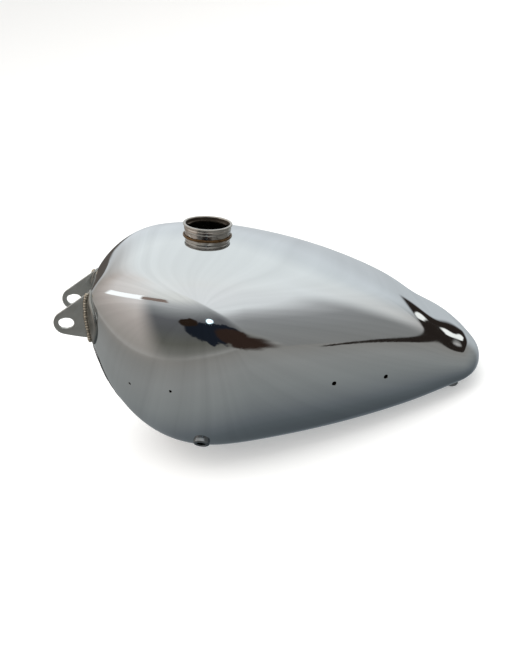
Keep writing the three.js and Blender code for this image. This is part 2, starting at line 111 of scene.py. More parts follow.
def skin(station, angle):
    """A point of the outside: x is the station, y the half width times a slightly full
    sine, z the axis height plus the crown or belly times a slightly flat cosine. A low
    swell under the neck is added: a bell along the length times a power of the cosine."""
    s = np.clip(station, 0, LENGTH)
    u, back = s / LENGTH, LENGTH - s
    half = along(HALF_WIDTH, u) * close(s, WIDTH_NOSE) * close(back, WIDTH_TAIL)
    dip = DIP_DEPTH * np.exp(-(((back - DIP_FROM_TAIL) / DIP_LENGTH) ** 2))
    crown = (along(CROWN_HEIGHT, u) - dip) * close(s, CROWN_NOSE) * close(back, CROWN_TAIL)
    belly = along(BELLY_DEPTH, u) * close(s, BELLY_NOSE) * close(back, BELLY_TAIL)
    axis = AXIS_HEIGHT[0] + (AXIS_HEIGHT[1] - AXIS_HEIGHT[0]) * u
    side = (np.sin(angle) + FLANK_FULLNESS * np.sin(3 * angle)) / (1 - FLANK_FULLNESS)
    lift = (np.cos(angle) - CROWN_FLATNESS * np.cos(3 * angle)) / (1 - CROWN_FLATNESS)
    z = axis + (crown - belly) / 2 * (1 - np.sin(angle) ** 2) + (crown + belly) / 2 * lift
    swell = SWELL_HEIGHT * np.exp(-(((s - SWELL_STATION) / SWELL_REACH) ** 2))
    swell = swell * close(s, CROWN_NOSE) * close(back, CROWN_TAIL)
    z = z + swell * np.maximum(np.cos(angle), 0) ** SWELL_POWER
    return np.stack([s + 0 * angle, half * side, z], -1)


def station_at(t):
    """Stations closer together towards both ends: half the length times 1 - cos(pi t)."""
    return LENGTH * (1 - np.cos(np.pi * t)) / 2


def unit(vectors):
    """Each vector divided by its length."""
    return vectors / np.maximum(np.linalg.norm(vectors, axis=-1, keepdims=True), 1e-12)


def skin_normal(t, angle):
    """The outward normal: the lengthwise slope crossed with the slope round the section."""
    t = np.clip(t, 2e-3, 1 - 2e-3)
    h = 1e-4
    lengthwise = skin(station_at(t + h), angle) - skin(station_at(t - h), angle)
    roundwise = skin(station_at(t), angle + h) - skin(station_at(t), angle - h)
    return unit(np.cross(lengthwise, roundwise))


def t_of(station):
    """The sweep parameter of a station."""
    return np.arccos(1 - 2 * np.clip(station, 0, LENGTH) / LENGTH) / np.pi


widest = skin(np.full(181, 100.0), np.linspace(0, np.pi, 181))[:, 1].max()
print("half width 100 mm behind the nose:", round(float(widest), 1), "mm")

# %% [markdown]
# **Where a half ends.** Each half stops at the centreline seam above, and below at the
# tunnel or, near the nose and tail, at the seam again. Cutting a fine mesh with a
# boolean would leave ragged triangles that show in chrome. So the grid itself runs from
# one edge to the other: for each station the two edge angles are found by bisection.

# %% The angle at which a section crosses an edge
def crossing(inside, low, high):
    """Bisection on whole arrays: the angle between low and high where inside() turns
    from false to true."""
    low, high = low.copy(), high.copy()
    for _ in range(48):
        middle = (low + high) / 2
        found = inside(middle)
        high = np.where(found, middle, high)
        low = np.where(found, low, middle)
    return (low + high) / 2


def roof_at(station):
    """The height of the tunnel's roof, which falls evenly from nose to tail."""
    return TUNNEL_ROOF[0] + (TUNNEL_ROOF[1] - TUNNEL_ROOF[0]) * station / LENGTH


def in_tunnel(points):
    """True inside the channel's outline: under its falling roof, between its sides, and
    within the quarter circles that round its shoulders."""
    x, y, z = points[..., 0], np.abs(points[..., 1]), points[..., 2]
    across, above = y - (TUNNEL_HALF - TUNNEL_CORNER), z - (roof_at(x) - TUNNEL_CORNER)
    return np.hypot(np.maximum(across, 0), np.maximum(above, 0)) < TUNNEL_CORNER


def edge_angles(station):
    """The first and last angle of the right half at each station."""
    side = np.full_like(station, np.pi / 2)
    top = crossing(lambda a: skin(station, a)[..., 1] > SEAM_WIDTH / 2, 0 * side, side)
    low = crossing(lambda a: skin(station, a)[..., 1] < SEAM_WIDTH / 2, side, 2 * side)
    joint = crossing(lambda a: in_tunnel(skin(station, a)), side, 2 * side)
    return top, np.minimum(low, joint)


# %% [markdown]
# **Mesh helpers.** A grid of rows and columns becomes quads, a closed outline carried
# round an axis becomes a turned piece, and a ring carried along a path becomes a bead.
# They are plain arrays until from_pydata puts them into a mesh.

# %% Grids, rims and sheets
def grid_faces(rows, columns, wrap=False):
    """Quads between neighbouring rows and columns; wrap joins the last column to the first."""
    across = columns if wrap else columns - 1
    i, j = np.meshgrid(np.arange(rows - 1), np.arange(across), indexing="ij")
    a, b = i * columns + j, i * columns + (j + 1) % columns
    return np.stack([a, a + columns, b + columns, b], -1).reshape(-1, 4)


def loop_faces(rows, columns):
    """Quads of a grid that is joined both ways, like the surface of a ring."""
    i, j = np.meshgrid(np.arange(rows), np.arange(columns), indexing="ij")
    after, beside = (i + 1) % rows, (j + 1) % columns
    corners = (i * columns + j, after * columns + j, after * columns + beside, i * columns + beside)
    return np.stack(corners, -1).reshape(-1, 4)


def open_edges(faces):
    """The edges that only one face uses, in that face's direction."""
    edges = np.stack([faces, np.roll(faces, -1, 1)], -1).reshape(-1, 2)
    _, where, count = np.unique(np.sort(edges, 1), axis=0, return_index=True, return_counts=True)
    return edges[where[count == 1]]


def closed_sheet(outer, inner, faces):
    """Points and faces of a thin sheet: the outer grid, the inner one turned over, and
    quads that join the two along the open edges."""
    count, rim = len(outer), open_edges(faces)
    rim_faces = np.stack([rim[:, 1], rim[:, 0], rim[:, 0] + count, rim[:, 1] + count], -1)
    return np.vstack([outer, inner]), np.vstack([faces, faces[:, ::-1] + count, rim_faces])


def facing(points, faces, normals):
    """Each quad turned so that it faces along the given normals."""
    a, b, d = points[faces[:, 0]], points[faces[:, 1]], points[faces[:, 3]]
    share = np.einsum("ij,ij->i", np.cross(b - a, d - a), normals[faces[:, 0]])
    return np.where(share[:, None] < 0, faces[:, ::-1], faces)


def outward(points, faces):
    """Faces turned so that the closed shape's signed volume is positive."""
    a, b, c = points[faces[:, 0]], points[faces[:, 1]], points[faces[:, -2]]
    d = points[faces[:, -1]]
    volume = np.einsum("ij,ij->", a, np.cross(b, c)) + np.einsum("ij,ij->", a, np.cross(c, d))
    return faces if volume > 0 else faces[:, ::-1]


def piece(name, points, faces, material, slot, node, normals=None):
    """A smooth mesh object at the origin that rides on the tank and stands for a CAD node."""
    mesh = bpy.data.meshes.new(name)
    mesh.from_pydata(stand(points), [], faces if isinstance(faces, list) else faces.tolist())
    mesh.shade_smooth()
    mesh.update()
    if normals is not None:
        mesh.normals_split_custom_set_from_vertices(stand_direction(normals).tolist())
    mesh.materials.append(material)
    made = bpy.data.objects.new(name, mesh)
    bpy.context.scene.collection.objects.link(made)
    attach(made, "root")
    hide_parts(node)
    print(f"{name}: {len(points)} points, {len(faces)} faces")
    return made


# %% Turned pieces and beads
def axes_of(direction):
    """Two directions square to a given one and to each other."""
    n = unit(np.asarray(direction, float))
    first = unit(np.cross([0.0, 1.0, 0.0] if abs(n[1]) < 0.9 else [1.0, 0.0, 0.0], n))
    return first, np.cross(n, first), n


def rounded(outline, radius, steps=6):
    """A closed outline with each corner replaced by a curve: the quadratic Bezier from a
    point before the corner to one after it, both at the radius or at a third of the side."""
    p = np.asarray(outline, float)
    before, after = np.roll(p, 1, 0) - p, np.roll(p, -1, 0) - p
    reach_b = np.minimum(radius, np.linalg.norm(before, axis=1) / 3)[:, None]
    reach_a = np.minimum(radius, np.linalg.norm(after, axis=1) / 3)[:, None]
    start, end = p + unit(before) * reach_b, p + unit(after) * reach_a
    w = np.linspace(0, 1, steps)[None, :, None]
    curve = (1 - w) ** 2 * start[:, None] + 2 * w * (1 - w) * p[:, None] + w**2 * end[:, None]
    return curve.reshape(-1, 2)


def turned(outline, centre, direction, steps=96, swell=None):
    """A closed outline of (radius, height) carried round an axis. swell(turn, height)
    gives millimetres added to the radius, for what a lathe or a hand left uneven."""
    first, second, n = axes_of(direction)
    turn = np.linspace(0, 2 * np.pi, steps, endpoint=False)[:, None]
    radius, height = np.asarray(outline, float).T[:, None, :]
    radius = radius + (0 if swell is None else swell(turn, height)) * (radius > 0.01)
    points = (
        np.asarray(centre)
        + (radius * np.cos(turn))[..., None] * first
        + (radius * np.sin(turn))[..., None] * second
        + (height + 0 * turn)[..., None] * n
    )
    flat = points.reshape(-1, 3)
    return flat, outward(flat, loop_faces(*points.shape[:2]))


def bead(path, across, up, width, height, steps=20):
    """An ellipse carried along a path, its half width and half height given at each point,
    with a fan of triangles at each end. A triangle is a quad that repeats its last corner."""
    phi = np.linspace(0, 2 * np.pi, steps, endpoint=False)
    sideways, upward = (width * np.cos(phi))[..., None], (height * np.sin(phi))[..., None]
    points = path[:, None] + sideways * across[:, None] + upward * up[:, None]
    rows = len(path)
    j = np.arange(steps)
    k = (j + 1) % steps
    last = (rows - 1) * steps
    start_cap = np.stack([np.full(steps, rows * steps), j, k, k], -1)
    end_cap = np.stack([np.full(steps, rows * steps + 1), last + k, last + j, last + j], -1)
    flat = np.vstack([points.reshape(-1, 3), path[:1], path[-1:]])
    return flat, np.vstack([grid_faces(rows, steps, wrap=True), start_cap, end_cap])


# %% [markdown]
# **Finishes.** Colours are written as the sRGB hex values a person would pick, and one
# function turns them to the linear light that the shader wants. One more function adds
# a node with its settings and links, and every material is built with it.

# %% Colour and node helpers
def linear(hex_colour):
    """An sRGB hex colour as linear RGBA: v/12.92 below 0.04045, else ((v+0.055)/1.055)^2.4."""
    v = np.array([int(hex_colour[i : i + 2], 16) for i in (1, 3, 5)]) / 255
    v = np.where(v <= 0.04045, v / 12.92, ((v + 0.055) / 1.055) ** 2.4)
    return (*[float(x) for x in v], 1.0)


def add(tree, kind, settings=None, **inputs):
    """Adds one node. settings are its properties; each input is a value or an output to
    link. i0, i1 and so on pick a socket by number, any other name by its label."""
    node = tree.nodes.new(kind)
    for key, value in (settings or {}).items():
        setattr(node, key, value)
    for key, value in inputs.items():
        by_number = key[0] == "i" and key[1:].isdigit()
        socket = node.inputs[int(key[1:]) if by_number else key.replace("_", " ")]
        if isinstance(value, bpy.types.NodeSocket):
            tree.links.new(value, socket)
        else:
            socket.default_value = value
    return node


def spread(tree, value, low, high, to_low=0.0, to_high=1.0, blend="LINEAR"):
    """A value from low to high spread over to_low to to_high, as a node's output."""
    settings = {"interpolation_type": blend}
    node = add(tree, "ShaderNodeMapRange", settings, i0=value, i1=low, i2=high, i3=to_low, i4=to_high)
    return node.outputs[0]


def finish_of(name):
    """A new node material with an empty tree, and its tree."""
    material = bpy.data.materials.new(name)
    material.use_nodes = True
    material.node_tree.nodes.clear()
    return material, material.node_tree


def close_finish(tree, shader):
    """Links a shader to the material's output."""
    add(tree, "ShaderNodeOutputMaterial", Surface=shader.outputs[0])


# %% [markdown]
# **Chrome plate.** Decorative chromium is a film less than a thousandth of a millimetre
# thick over polished nickel and steel. It is neutral with a slight cold cast, reflects
# about two thirds of the light, and keeps whatever the polishing mop left: faint arcs
# and a thin haze. So the colour is even, and the marks sit in roughness and bump. Real
# mop lines are hundredths of a millimetre apart; they are drawn about 2 mm apart.

# %% The chrome of the tank
def chrome_plate(name, colour, rough_low, rough_high, mark_height):
    """Metallic Principled shader; stretched noise gives mop lines, soft noise a haze."""
    material, tree = finish_of(name)
    place = add(tree, "ShaderNodeTexCoord").outputs["Object"]
    arcs = add(tree, "ShaderNodeMapping", Vector=place, Scale=(60, 140, 420), Rotation=(0.2, 0.35, 0.1))
    lines = add(tree, "ShaderNodeTexNoise", Vector=arcs.outputs[0], Scale=1.0, Detail=5.0, Roughness=0.62)
    haze = add(tree, "ShaderNodeTexNoise", Vector=place, Scale=22.0, Detail=3.0, Roughness=0.5)
    both = add(tree, "ShaderNodeMath", {"operation": "MULTIPLY"}, i0=lines.outputs[0], i1=haze.outputs[0])
    rough = spread(tree, both.outputs[0], 0.12, 0.42, rough_low, rough_high)
    bump = add(tree, "ShaderNodeBump", Strength=0.35, Distance=mark_height, Height=lines.outputs[0])
    shader = add(
        tree,
        "ShaderNodeBsdfPrincipled",
        Base_Color=linear(colour),
        Metallic=1.0,
        Roughness=rough,
        Normal=bump.outputs[0],
    )
    close_finish(tree, shader)
    return material


CHROME = chrome_plate("polished_chrome_plate", "#cdd1d3", 0.02, 0.065, 0.00002)
NECK_CHROME = chrome_plate("dull_chrome_over_spun_steel", "#aba69f", 0.07, 0.17, 0.00006)
BOSS_CHROME = chrome_plate("chrome_over_turned_steel", "#85888a", 0.14, 0.28, 0.00005)

# %% [markdown]
# ** Bare and satin steel.** The ears are thick plate that nobody polished: plated grey
# over a rolled surface. The inside of the neck and the fittings within are plain steel
# gone brown-black with fuel.

# %% Satin plate, weld metal and dark steel
def plain_steel(name, dark, light, rough, grain, depth, patch=14.0):
    """Metallic shader whose colour wanders between two tones, in patches of so many
    millimetres, with a fine grain in the bump. grain is the number of grains per metre."""
    material, tree = finish_of(name)
    place = add(tree, "ShaderNodeTexCoord").outputs["Object"]
    cloud = add(tree, "ShaderNodeTexNoise", Vector=place, Scale=1000 / patch, Detail=4.0, Roughness=0.6)
    tone = add(
        tree, "ShaderNodeMix", {"data_type": "RGBA"}, i0=cloud.outputs[0], i6=linear(dark), i7=linear(light)
    )
    fine = add(tree, "ShaderNodeTexNoise", Vector=place, Scale=grain, Detail=3.0, Roughness=0.6)
    bump = add(tree, "ShaderNodeBump", Strength=0.5, Distance=depth, Height=fine.outputs[0])
    roughness = spread(tree, cloud.outputs[0], 0.3, 0.7, rough * 0.85, rough * 1.2)
    shader = add(
        tree,
        "ShaderNodeBsdfPrincipled",
        Base_Color=tone.outputs[2],
        Metallic=1.0,
        Roughness=roughness,
        Normal=bump.outputs[0],
    )
    close_finish(tree, shader)
    return material


SATIN = plain_steel("satin_plated_steel", "#a9aba8", "#cccdc9", 0.46, 900.0, 0.0001)
SHOE_STEEL = plain_steel("dull_plated_steel", "#7c7d7a", "#a3a39e", 0.34, 700.0, 0.0001)
WELD = plain_steel("hand_laid_weld", "#857a6b", "#d6cdbd", 0.30, 500.0, 0.0002, patch=5.0)
DARK = plain_steel("fuel_browned_steel", "#50483f", "#7a7066", 0.42, 600.0, 0.0001)
# The solder ring's dark brown is partly tarnish and partly painted shade: it stands for the shadow line
# round the neck's foot.
BRAZE_AND_FOOT_SHADE = plain_steel("tarnished_braze_and_painted_foot_shade", "#3d2c1c", "#7d6243", 0.30, 500.0, 0.0001, patch=6.0)
INNER = plain_steel("unpolished_plated_steel", "#5d6164", "#7c8082", 0.38, 400.0, 0.0001)

# %% [markdown]
# **The two halves.** Each is a grid from seam to tunnel, with its inside offset by the
# wall and the open edges joined, so it is a closed sheet of real thickness. Shading
# normals come from the formula, not from the facets.
#
# Screw holes are small beside the grid's cells. Round each one a block of cells is
# taken out and filled with rings that run from the block's square edge to the true
# circle. Every ring point is found on the skin by Newton steps, so nothing bends.

# %% Points of the skin seen along an axis
def find_on_skin(s, a, centre, first, second, p, q, rounds=8):
    """Newton steps on (station, angle) until the skin point, seen from centre along the
    axis square to first and second, lies at (p, q)."""
    s, a = s.copy(), a.copy()
    for _ in range(rounds):
        here = skin(s, a) - centre
        by_s = (skin(s + 0.01, a) - skin(s - 0.01, a)) / 0.02
        by_a = (skin(s, a + 1e-4) - skin(s, a - 1e-4)) / 2e-4
        f, g = here @ first - p, here @ second - q
        fs, fa, gs, ga = by_s @ first, by_a @ first, by_s @ second, by_a @ second
        size = fs * ga - fa * gs
        s = np.clip(s - (f * ga - fa * g) / size, 0.5, LENGTH - 0.5)
        a = a - (fs * g - f * gs) / size
    return s, a


# %% A half with its holes
ROWS, COLUMNS = 300, 130
FIRST_T, LAST_T = 0.0035, 0.9965  # the grids stop this close to nose and tail
HOLE_RINGS, HOLE_GAP = 6, 0.3
TAP_STATION, TAP_ANGLE = 129.0, 130.0
TAP_BOSS = dict(bore=5.6, radius=10.2, proud=4.5, sunk=6.0, floor=0.0, chamfer=1.0, ease=0.4)
REAR_FROM_TAIL, REAR_BESIDE_TUNNEL = 45.0, 12.5
REAR_BOSS = dict(bore=4.0, radius=7.8, proud=8.0, sunk=9.0, floor=3.0, chamfer=0.8, ease=0.3)
SCREW_HOLES = [(51.0, 106.6, 2.0), (100.0, 100.3, 2.0), (293.0, 92.8, 3.0), (360.0, 90.5, 3.0)]
NECK_STATION, NECK_RADIUS, NECK_HEIGHT, NECK_WALL = 162.0, 28.6, 14.0, 1.4
NECK_HOLE = NECK_RADIUS + 1.2
neck_foot = skin(np.array(NECK_STATION), np.array(0.0))
neck_axis = skin_normal(t_of(np.array(NECK_STATION)), np.array(0.0))
print("neck stands at", neck_foot.round(1), "along", neck_axis.round(3))


def underside_angle(station, y):
    """The angle on the belly at which the half section is y wide."""
    side = np.array(np.pi / 2)
    return crossing(lambda a: skin(np.array(station), a)[..., 1] < y, side, 2 * side)


def open_neck(s, a, faces):
    """The neck's hole straddles the seam: grid points inside it move out to its circle."""
    places = skin(s, a)
    e1, e2, _ = axes_of(neck_axis)
    lateral = places - neck_foot
    p, q = lateral @ e1, lateral @ e2
    reach = np.hypot(p, q)
    inside = (reach < NECK_HOLE) & (lateral @ neck_axis > -30)
    faces = faces[~inside[faces].all(1)]
    rim = inside & np.isin(np.arange(len(s)), faces)
    scale = NECK_HOLE / reach[rim]
    s[rim], a[rim] = find_on_skin(s[rim], a[rim], neck_foot, e1, e2, p[rim] * scale, q[rim] * scale)
    return s, a, faces


def open_hole(s, a, faces, row, column, cells, centre, axis, radius):
    """Takes out a block of cells round a grid point and fills it with rings, from the
    block's square edge in to the circle seen along the axis."""
    low_i, high_i, low_j, high_j = row - cells, row + cells, column - cells, column + cells
    i, j = np.meshgrid(np.arange(low_i, high_i), np.arange(low_j, high_j), indexing="ij")
    gone = (i * COLUMNS + j).ravel()
    faces = faces[~np.isin(faces[:, 0], gone) | (faces[:, 0] >= ROWS * COLUMNS)]
    loop = (
        [(low_i, j) for j in range(low_j, high_j)]
        + [(i, high_j) for i in range(low_i, high_i)]
        + [(high_i, j) for j in range(high_j, low_j, -1)]
        + [(i, low_j) for i in range(high_i, low_i, -1)]
    )
    outer = np.array([i * COLUMNS + j for i, j in loop])
    e1, e2, _ = axes_of(axis)
    here = skin(s[outer], a[outer]) - centre
    p1, q1 = here @ e1, here @ e2
    phi = np.arctan2(q1, p1)
    p0, q0 = radius * np.cos(phi), radius * np.sin(phi)
    following = np.roll(np.arange(len(outer)), -1)
    index = outer
    for ring in range(1, HOLE_RINGS + 1):
        share = (1 - ring / HOLE_RINGS) ** 1.5
        pk, qk = p0 + (p1 - p0) * share, q0 + (q1 - q0) * share
        sk, ak = find_on_skin(s[outer], a[outer], centre, e1, e2, pk, qk)
        fresh = len(s) + np.arange(len(outer))
        s, a = np.append(s, sk), np.append(a, ak)
        between_rings = np.stack([index, fresh, fresh[following], index[following]], -1)
        faces = np.vstack([faces, between_rings])
        index = fresh
    return s, a, faces


def half_shell():
    """Stations, angles and faces of the right half, with its holes cut."""
    station = station_at(np.linspace(FIRST_T, LAST_T, ROWS))
    first_angle, last_angle = edge_angles(station)
    w = np.linspace(0, 1, COLUMNS)
    s = np.repeat(station[:, None], COLUMNS, 1)
    a = first_angle[:, None] + (last_angle - first_angle)[:, None] * w
    s, a, faces = open_neck(s.ravel(), a.ravel(), grid_faces(ROWS, COLUMNS))

    rear_station = LENGTH - REAR_FROM_TAIL
    rear_angle = float(underside_angle(rear_station, TUNNEL_HALF + REAR_BESIDE_TUNNEL))
    tap_radius, rear_radius = TAP_BOSS["radius"] + HOLE_GAP, REAR_BOSS["radius"] + HOLE_GAP
    holes = [(st, np.radians(an), radius, None, 3) for st, an, radius in SCREW_HOLES]
    holes.append((TAP_STATION, np.radians(TAP_ANGLE), tap_radius, None, 6))
    holes.append((rear_station, rear_angle, rear_radius, DOWN, 5))
    for st, an, radius, axis, cells in holes:
        centre, normal = skin(np.array(st), np.array(an)), skin_normal(t_of(np.array(st)), np.array(an))
        row = int(np.argmin(np.abs(station - st)))
        column = int(np.argmin(np.abs(a[row * COLUMNS : (row + 1) * COLUMNS] - an)))
        column = min(column, COLUMNS - 1 - cells)
        along_axis = normal if axis is None else axis
        s, a, faces = open_hole(s, a, faces, row, column, cells, centre, along_axis, radius)
    return s, a, faces


shell_s, shell_a, shell_faces = half_shell()
used = np.unique(shell_faces)
renumber = np.zeros(len(shell_s), int)
renumber[used] = np.arange(len(used))
shell_s, shell_a, shell_faces = shell_s[used], shell_a[used], renumber[shell_faces]
print("right half:", len(shell_s), "points outside")

# %% Both halves as closed sheets
outside, shell_normals = skin(shell_s, shell_a), skin_normal(t_of(shell_s), shell_a)
shell_faces = facing(outside, shell_faces, shell_normals)
sheet_points, sheet_faces = closed_sheet(outside, outside - WALL * shell_normals, shell_faces)
sheet_normals = np.vstack([shell_normals, -shell_normals])
piece("right_half", sheet_points, sheet_faces, CHROME, "chrome", "right_shell", sheet_normals)
left_points, left_faces, left_normals = sheet_points * MIRROR, sheet_faces[:, ::-1], sheet_normals * MIRROR
piece("left_half", left_points, left_faces, CHROME, "chrome", "left_shell", left_normals)

# %% [markdown]
# **The centreline seam.** The butt weld between the halves is ground flush before
# plating, so it shows as hardly more than a change in the light. It is a strip between
# the two edges, lifted at its middle by the skin's own curve, and cut where the neck
# stands. It turns under the nose and the tail and ends at the tunnel.

# %% The seam strips
SEAM_ROWS, SEAM_GAP = 260, 1.0


def seam_strip(name, low, high, node):
    """Across the strip y runs from one edge to the other; along it the station runs from
    low to high over the crown. Under the nose or tail it runs on to the tunnel's joint."""
    station = station_at(np.linspace(t_of(np.array(low)), t_of(np.array(high)), SEAM_ROWS))
    top, last = edge_angles(station)
    below = np.abs(skin(station, last)[:, 1] - SEAM_WIDTH / 2) < 0.02
    run = np.flatnonzero(below)
    if low < 1:
        under = run[run < SEAM_ROWS // 2]
        s, a = np.r_[station[under][::-1], station], np.r_[last[under][::-1], top]
    else:
        under = run[run > SEAM_ROWS // 2]
        s, a = np.r_[station, station[under][::-1]], np.r_[top, last[under][::-1]]
    edge, normal = skin(s, a), skin_normal(t_of(s), a)
    middle_normal = unit(normal * np.array([1.0, 0.0, 1.0]))
    v = np.linspace(-1, 1, 7)[None, :, None]
    bulge = np.abs(normal[:, 1:2]) * SEAM_WIDTH / 4
    points = edge[:, None] * np.array([1, 0, 1]) + np.array([0, 1, 0]) * v * SEAM_WIDTH / 2
    points = points + (middle_normal * bulge)[:, None] * (1 - v**2)
    normals = unit(middle_normal[:, None] + np.array([0, 1, 0]) * v * normal[:, 1][:, None, None])
    flat, flat_normals = points.reshape(-1, 3), normals.reshape(-1, 3)
    faces = facing(flat, grid_faces(*points.shape[:2]), flat_normals)
    sheet = closed_sheet(flat, flat - WALL * flat_normals, faces)
    piece(name, *sheet, CHROME, "chrome", node, np.vstack([flat_normals, -flat_normals]))


AT_END = 0.016  # millimetres from the very nose and tail
seam_strip("centre_seam_front", AT_END, NECK_STATION - NECK_RADIUS - SEAM_GAP, "seam_weld_front")
seam_strip("centre_seam_rear", NECK_STATION + NECK_RADIUS + SEAM_GAP, LENGTH - AT_END, "seam_weld_rear")

# %% [markdown]
# **The filler neck.** It is spun from thin tube: the top is rolled outwards into a lip,
# and one low rolled bead stiffens the wall. Spinning and later soldering left it uneven,
# so a slow wobble goes round the lip and the bead. The profile is one closed outline
# carried round the neck's axis. The polished crown mirrors the short neck, so it seems
# about twice as tall as it is.

# %% The neck's outline, from the foot up outside and down the bore
NECK_BORE, NECK_SUNK = NECK_RADIUS - NECK_WALL, 5.0
BEAD_AT, BEAD_HALF, BEAD_PROUD = 7.4, 2.4, 0.7
LIP, LIP_ROLL = 2.1, 1.05


def neck_wobble(turn, height):
    """Up to a third of a millimetre, in three slow waves round the neck, most at the lip."""
    wave = np.sin(3 * turn + 0.7) + 0.6 * np.sin(7 * turn + 2.0) + 0.5 * np.sin(13 * turn + height)
    return wave * (0.06 + 0.10 * np.clip((height - NECK_HEIGHT + 5) / 5, 0, 1))


bead_h = np.linspace(-NECK_SUNK, NECK_HEIGHT - 2.2, 150)
bead_r = NECK_RADIUS + BEAD_PROUD * np.clip(1 - ((bead_h - BEAD_AT) / BEAD_HALF) ** 2, 0, 1) ** 0.6
roll = np.linspace(-np.pi / 2, np.pi / 2, 18)
lip_r = NECK_RADIUS + LIP - LIP_ROLL + LIP_ROLL * np.cos(roll)
lip_h = NECK_HEIGHT - LIP_ROLL + LIP_ROLL * np.sin(roll)
bore_line = [
    (NECK_BORE + 0.7, NECK_HEIGHT),
    (NECK_BORE + 0.15, NECK_HEIGHT - 0.4),
    (NECK_BORE, NECK_HEIGHT - 1.2),
    (NECK_BORE, NECK_HEIGHT - 5.0),
    (NECK_BORE, -NECK_SUNK),
]
neck_outline = np.vstack([np.stack([bead_r, bead_h], 1), np.stack([lip_r, lip_h], 1), bore_line])
neck_mesh = turned(neck_outline, neck_foot, neck_axis, 160, neck_wobble)
neck = piece("filler_neck_spun", *neck_mesh, NECK_CHROME, "chromed_neck", "filler_neck")

# %% The inside wall of the neck is browned steel
neck.data.materials.append(DARK)
centres = np.zeros(len(neck.data.polygons) * 3)
neck.data.polygons.foreach_get("center", centres)
axis_line = stand_direction(neck_axis)
offset = centres.reshape(-1, 3) - stand(neck_foot)
height_up = offset @ axis_line
from_axis = np.linalg.norm(offset - np.outer(height_up, axis_line), axis=1)
in_bore = (from_axis < (NECK_BORE + 0.35) / 1000) & (height_up < (NECK_HEIGHT - 0.9) / 1000)
neck.data.polygons.foreach_set("material_index", in_bore.astype(np.int32))


def on_skin_ring(radius, steps):
    """Points of the skin at a distance from the neck's axis, all the way round it."""
    e1, e2, _ = axes_of(neck_axis)
    phi = np.linspace(0, 2 * np.pi, steps, endpoint=False)
    start = np.full(steps, NECK_STATION), np.zeros(steps)
    s, a = find_on_skin(*start, neck_foot, e1, e2, radius * np.cos(phi), radius * np.sin(phi))
    return skin(s, a), skin_normal(t_of(s), a)


# %% The solder ring follows the skin round the foot
RING_STEPS, RING_SIDES = 220, 16
RING_HALF, RING_PROUD = 1.1, 1.6
ring_at, ring_up = on_skin_ring(NECK_RADIUS + 1.0, RING_STEPS)
ring_across = unit(np.cross(unit(np.roll(ring_at, -1, 0) - np.roll(ring_at, 1, 0)), ring_up))
phi = np.linspace(0, 2 * np.pi, RING_SIDES, endpoint=False)
way_round = np.linspace(0, 2 * np.pi, RING_STEPS, endpoint=False)[:, None]
lump = 1 + 0.10 * np.sin(9 * way_round) + 0.06 * np.sin(23 * way_round)
ring_points = (
    ring_at[:, None]
    + (RING_HALF * np.cos(phi))[:, None] * ring_across[:, None]
    + (RING_PROUD * np.sin(phi) * lump)[..., None] * ring_up[:, None]
).reshape(-1, 3)
ring_mesh = ring_points, outward(ring_points, loop_faces(RING_STEPS, RING_SIDES))
# The ring's dark brown is partly tarnish and partly painted shade along the neck's foot.
piece("neck_solder_ring", *ring_mesh, BRAZE_AND_FOOT_SHADE, "chromed_neck", "neck_ring")


def refinish(node, material):
    """Gives a CAD piece that stays a single material."""
    node.data.materials.clear()
    node.data.materials.append(material)


refinish(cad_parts["bayonet_ring"], DARK)

# %% [markdown]
# **The ears.** Each is a cut plate with a round end and a stud slot, seen edge and face
# in the same light as the tank but never polished. The plate is one closed ring of
# material: at each direction from the slot's centre its section runs from the slot's
# edge to the plate's edge, with the four corners eased by a file.

# %% Outline of an ear, and of the slot
EAR_Y, EAR_THICK = 37.5, 3.5
SLOT_AHEAD, SLOT_HEIGHT, SLOT_LENGTH, SLOT_WIDTH = 21.6, 153.6, 19.0, 13.0
EAR_END, ROOT_TOP, ROOT_BOTTOM = 15.2, 190.0, 125.0
SHOE_THICK, SHOE_INNER, SHOE_REACH, SHOE_MARGIN, EAR_LEG = 2.5, 5.0, 24.0, 1.5, 3.6
PAST_SKIN = 36.0  # how far back the plate's lines are drawn before the skin cuts them
NOSE_HEIGHTS = (60, 215)  # between which the nose has a front
slot_centre = np.array([-SLOT_AHEAD, SLOT_HEIGHT])


def nose_at(y, z):
    """The station and angle at which the front of the skin has a given y and z."""
    y, z = np.ravel(y), np.ravel(z)
    e1, e2 = np.array([0, 1.0, 0]), np.array([0, 0, 1.0])
    over = z > AXIS_HEIGHT[0]
    guess = np.arctan2(y / HALF_WIDTH[0], (z - AXIS_HEIGHT[0]) / np.where(over, 90, BELLY_DEPTH[0]))
    return find_on_skin(np.full(len(y), 9.0), guess, np.zeros(3), e1, e2, y, z, 30)


root_s, _ = nose_at(np.full(60, EAR_Y), np.linspace(ROOT_BOTTOM, ROOT_TOP, 60))
print("ear root from x", root_s.min().round(2), "to", root_s.max().round(2))
climb = np.arctan2(ROOT_TOP - SLOT_HEIGHT, SLOT_AHEAD + PAST_SKIN)
swing = np.linspace(np.pi / 2 + climb, 1.5 * np.pi - climb / 2, 60)
nose_arc = slot_centre + EAR_END * np.stack([np.cos(swing), np.sin(swing)], 1)
w = np.linspace(0, 1, 200)[:, None]
upper = nose_arc[0] + (np.array([PAST_SKIN, ROOT_TOP + EAR_END]) - nose_arc[0]) * w
bend, lower_end = np.array([0, ROOT_BOTTOM + 5]), np.array([PAST_SKIN, ROOT_BOTTOM])
lower = (1 - w) ** 2 * nose_arc[-1] + 2 * w * (1 - w) * bend + w**2 * lower_end
whole = np.vstack([upper[::-1], nose_arc, lower])
skin_x = skin(*nose_at(np.full(len(whole), EAR_Y), np.clip(whole[:, 1], *NOSE_HEIGHTS)))[:, 0]
front = whole[whole[:, 0] < skin_x - SHOE_THICK]
back_z = np.linspace(front[-1, 1], front[0, 1], 80)
back_s, _ = nose_at(np.full(80, EAR_Y), back_z)
ear_edge = np.vstack([front, np.stack([back_s - SHOE_THICK + 0.4, back_z], 1)])

